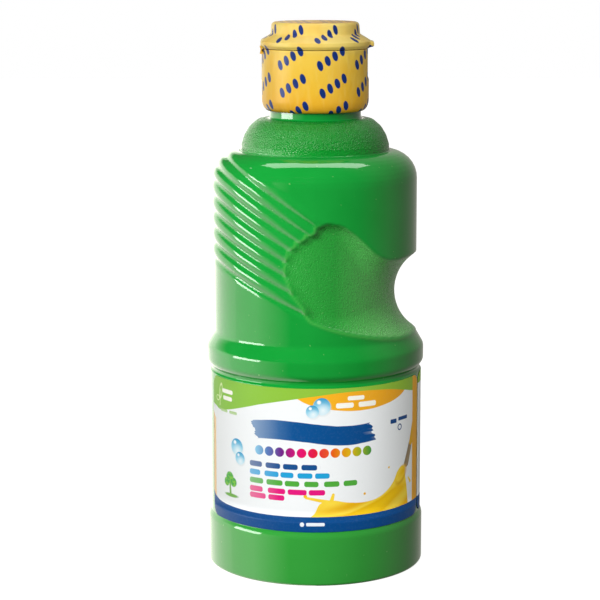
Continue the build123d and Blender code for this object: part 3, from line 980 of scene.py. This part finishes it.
def film_shape(corners, cols, step, seed, crease, flat=None, tab=None):
    """Grid of a film that hugs the cap: a turned outline with a flat or a tab on the +X side."""
    outline = spaced(rounded(corners, 15), lambda z: step)
    along = np.concatenate(([0], np.cumsum(np.linalg.norm(np.diff(outline, axis=0), axis=1))))
    phi = np.linspace(-math.pi, math.pi, cols, endpoint=False)[None, :]
    r, z = outline[:, :1] * np.ones_like(phi), outline[:, 1:] * np.ones_like(phi)
    rng = np.random.default_rng(seed)
    pushed = film_wrinkles(phi, along[:, None], rng, *crease)
    normals = outline_normals(outline)
    r = r + normals[:, :1] * pushed
    z = z + normals[:, 1:] * pushed * 0.4
    across = np.abs(r * np.sin(phi))
    if flat:
        flat_from, flat_x = flat
        cut = flat_x / np.maximum(np.cos(phi), 0.2)
        sharp = smoothstep((z - flat_from) / 1.2) * (np.cos(phi) > 0.5)
        r = np.where(cut < r, r + (cut - r) * sharp, r)
    if tab:
        reach, low, high, half = tab
        tip = reach - 0.5 * np.clip((across - half + 1.2) / 1.2, 0, 1) ** 2
        tip = tip / np.maximum(np.cos(phi), 0.2)
        level = smoothstep((z - low) / 0.25) * smoothstep((high - z) / 0.35)
        wide = smoothstep((half - across) / 0.7) * (np.cos(phi) > 0.5)
        r = np.maximum(r, r + (tip - r) * level * wide)
    return outline, along, phi, r, z


def thicken(r, z, phi):
    """Closed sheet: the outside grid, then the same grid drawn in by the thickness, joined at both rims."""
    points = np.stack((r * np.cos(phi), r * np.sin(phi), z), axis=-1)
    du = np.roll(points, -1, axis=1) - np.roll(points, 1, axis=1)
    dv = np.gradient(points, axis=0)
    normal = np.cross(du, dv)
    normal /= np.linalg.norm(normal, axis=-1, keepdims=True) + 1e-12
    inner = points - normal * FILM_THICK
    return np.concatenate((points, inner[::-1], points[:1]))


def link_fill(pieces):
    """Soft light from the right that only the printed film and labels take, as they scatter light."""
    group = bpy.data.collections.new("printed_pieces")
    for piece in pieces:
        group.objects.link(piece)
    fill = add_softbox("fill_right", 38, 12, 700, (420, 420), 2.6)
    fill.visible_glossy = False
    fill.light_linking.receiver_collection = group


def add_film(name, replaced, body, points, uv):
    """Film piece from the closed sheet's points and the art map of its outside, which has one column more."""
    uv = np.concatenate((uv, uv[::-1], uv[:1]))
    rows, cols = points.shape[:2]
    piece = make_mesh(name, points, grid_faces(rows, cols, True))
    layer = piece.data.uv_layers.new(name="art")
    i = np.repeat(np.arange(rows - 1), cols)
    j = np.tile(np.arange(cols), rows - 1)
    corners = np.stack((uv[i, j], uv[i, j + 1], uv[i + 1, j + 1], uv[i + 1, j]), axis=1)
    layer.data.foreach_set("uv", (corners / UV_MM).astype(np.float32).ravel())
    piece.data.materials.append(FILM)
    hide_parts(replaced)
    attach(piece, body)
    return piece


def film_uv(outline, along, cols, flat_z):
    """Arc length round by path length up; on the flat top at height flat_z and over, plain x and y."""
    phi = np.linspace(-math.pi, math.pi, cols + 1)
    uv = np.empty((len(outline), cols + 1, 2))
    uv[..., 0] = (phi + math.pi / 2) * FILM_RIM
    uv[..., 1] = along[:, None]
    top = outline[:, 1] > flat_z
    uv[top, :, 0] = outline[top, :1] * np.cos(phi)
    uv[top, :, 1] = outline[top, :1] * np.sin(phi) + 3.0
    return uv


def add_skirt_film():
    """Film round the skirt, turned in under it, flat below the tab and open at the hinge."""
    r = SKIRT_FILM_HI[1]
    low, high = SKIRT_FILM_LO[2], SKIRT_FILM_HI[2]
    cols = 300
    turn_in = [(r - 1.8 + 1.8 * math.sin(a), low + 3.2 - 3.2 * math.cos(a), 0)
               for a in np.linspace(0, 1.5, 10)]
    corners = turn_in + [(r, low + 4.5, 0), (r, high - 1.2, 3.0), (r + 0.1, high + 0.08, 0)]
    outline, along, phi, rad, z = film_shape(corners, cols, 0.45, 5, (12.0, 17.5, 0.07), flat=SKIRT_FLAT)
    half, sill = HINGE_WINDOW
    window = smoothstep((half - np.abs(rad * np.sin(phi))) / 0.35) * (np.cos(phi) < -0.5)
    z = np.minimum(z, high - (high - sill) * window)
    uv = film_uv(outline, along, cols, math.inf)
    return add_film("film_skirt", "band_lower", "cap", thicken(rad, z, phi), uv)


def add_lid_film():
    """Film over the lid: flange with its tab, cone, boss and top."""
    top = LID_FILM_HI[2]
    r_low = SKIRT_FILM_HI[1] + 0.12
    cols = 260
    corners = [(r_low, PARTING_Z, 0), (15.33, 143.6, 0.5), (15.33, 144.6, 0.25), (14.45, 145.2, 0.5),
               (12.15, 146.55, 0.5), (11.87, top, 1.05), (0.4, top, 0)]
    outline, along, phi, rad, z = film_shape(corners, cols, 0.4, 8, (0.8, 4.6, 0.09), tab=LID_TAB)
    back = -np.cos(phi) > 0.5
    cut = LID_BACK / np.maximum(-np.cos(phi), 0.2)
    rad = np.where(back & (cut < rad), cut, rad)
    uv = film_uv(outline, along + SKIRT_ART_TALL, cols, top - 0.02)
    return add_film("film_lid", "band_upper", "lid", thicken(rad, z, phi), uv)


def film_material():
    """Satin gold shrink film printed with rows of slanted navy ovals."""
    material, shader = new_material("gold_film", Coat_Weight=0.02, Coat_Roughness=0.15,
                                    Specular_IOR_Level=0.18)
    _, u, v = art_uv()
    wide, tall = FILM_PATTERN
    row = calc("FLOOR", v / tall + FILM_ROW_START)
    along = u / wide + row * 0.06
    cell = calc("FLOOR", along)
    du = (along - cell - 0.5) * wide
    dv = (v / tall + FILM_ROW_START - row - 0.5) * tall
    ca, sa = math.cos(math.radians(FILM_TILT)), math.sin(math.radians(FILM_TILT))
    a, b = du * ca + dv * sa, dv * ca - du * sa
    dab = a / FILM_DOT_PITCH
    local = (dab - calc("FLOOR", dab) - 0.5) * FILM_DOT_PITCH
    row_half = FILM_DOT_PITCH * FILM_DOTS / 2
    mark = either(oval(pair(local, b), (0.0, 0.0), (0.78, 1.4), -14.0), absolute(a) - row_half)
    cloud = noise(0.12, 3.0)
    # gold paler towards the top of the cap: a painted sheen of the light from above
    colour = ramp(clamp(v / 32.0),
                  [(0.03, srgb(222, 160, 36)), (0.2, srgb(226, 178, 50)), (0.5, srgb(228, 190, 72)),
                   (0.6, srgb(230, 204, 108)), (1.0, srgb(232, 208, 116))])
    colour = over(colour, srgb(222, 158, 26), clamp(cloud * 2.4 - 1.0) * 0.6)
    haze = clamp(noise(0.5, 2.0, pair(u * 1.0, v * 0.25 + u * 0.2)) * 1.6 - 0.8) * 0.35
    colour = over(colour, srgb(234, 212, 124), haze * 1.5)
    colour = over(colour, srgb(12, 44, 112), ink(mark, 0.12))
    plug(colour, shader.inputs["Base Color"])
    plug(0.3 + noise(0.4, 3.0) * 0.18, shader.inputs["Roughness"])
    creases = noise(0.3, 3.0, pair(u * 1.6 - v * 0.5, v * 0.5))
    plug(bump(creases, 0.35, 0.35), shader.inputs["Normal"])
    return material


def plastic_material(name, colour, deep):
    """Moulded polypropylene: slight cloudiness, fine spark-eroded grain."""
    material, shader = new_material(name, Coat_Weight=0.1, IOR=1.49)
    plug(ramp(noise(0.15, 3.0), [(0.3, deep), (0.7, colour)]), shader.inputs["Base Color"])
    plug(0.32 + noise(0.8, 3.0) * 0.12, shader.inputs["Roughness"])
    plug(bump(noise(5.0, 2.0), 0.15, 0.05), shader.inputs["Normal"])
    return material


def add_hinge():
    """Thin living hinge strap between the cap's back and the lid's back, which thickens into both."""
    rise = np.linspace(0, 1, 15)
    root = np.abs(rise * 2 - 1) ** 1.5
    z = HINGE_LOW_Z + rise * HINGE_TALL
    thick = 0.2 + 0.22 * root
    front, back = HINGE_FRONT_X + HINGE_ROOT * root, HINGE_FRONT_X - 0.1 - thick
    section = np.concatenate((np.stack((back, z), axis=1), np.stack((front, z), axis=1)[::-1]))
    points = np.stack([np.stack((section[:, 0], np.full(len(section), y), section[:, 1]), axis=1)
                       for y in np.linspace(-HINGE_HALF, HINGE_HALF, 9)])
    rows, cols = points.shape[:2]
    caps = [range(cols), [(rows - 1) * cols + j for j in range(cols)][::-1]]
    piece = make_mesh("hinge_strap", points, grid_faces(rows, cols, True)[:, ::-1], caps=caps)
    piece.data.shade_flat()
    piece.data.materials.append(CAP_PLASTIC)
    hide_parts("hinge_web")
    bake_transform(piece)
    return piece


def recolour(node, material):
    """Puts a material on a CAD node that keeps its shape."""
    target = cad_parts[node]
    if not target.material_slots:
        target.data.materials.append(material)
    for place in target.material_slots:
        place.material = material


add_camera()
add_studio()

shell = add_bottle()
shell.data.materials.append(pet_material())
paint = add_paint()
paint.data.materials.append(paint_material())

front_label = add_label("label_front", FRONT_LABEL_SPAN, "front_label")
front_label.data.materials.append(label_material("front_print", front_art))
back_label = add_label("label_back", BACK_LABEL_SPAN, "back_label")
back_label.data.materials.append(label_material("back_print", back_art))

CAP_PLASTIC = plastic_material("cap_plastic", srgb(232, 180, 60), srgb(222, 164, 40))
FILM = film_material()
films = [add_skirt_film(), add_lid_film()]
link_fill(films + [front_label, back_label])
add_hinge()
recolour("cap_base", CAP_PLASTIC)
recolour("flip_lid", CAP_PLASTIC)
recolour("rim_gasket", plastic_material("foam_liner", srgb(240, 240, 236), srgb(226, 226, 220)))
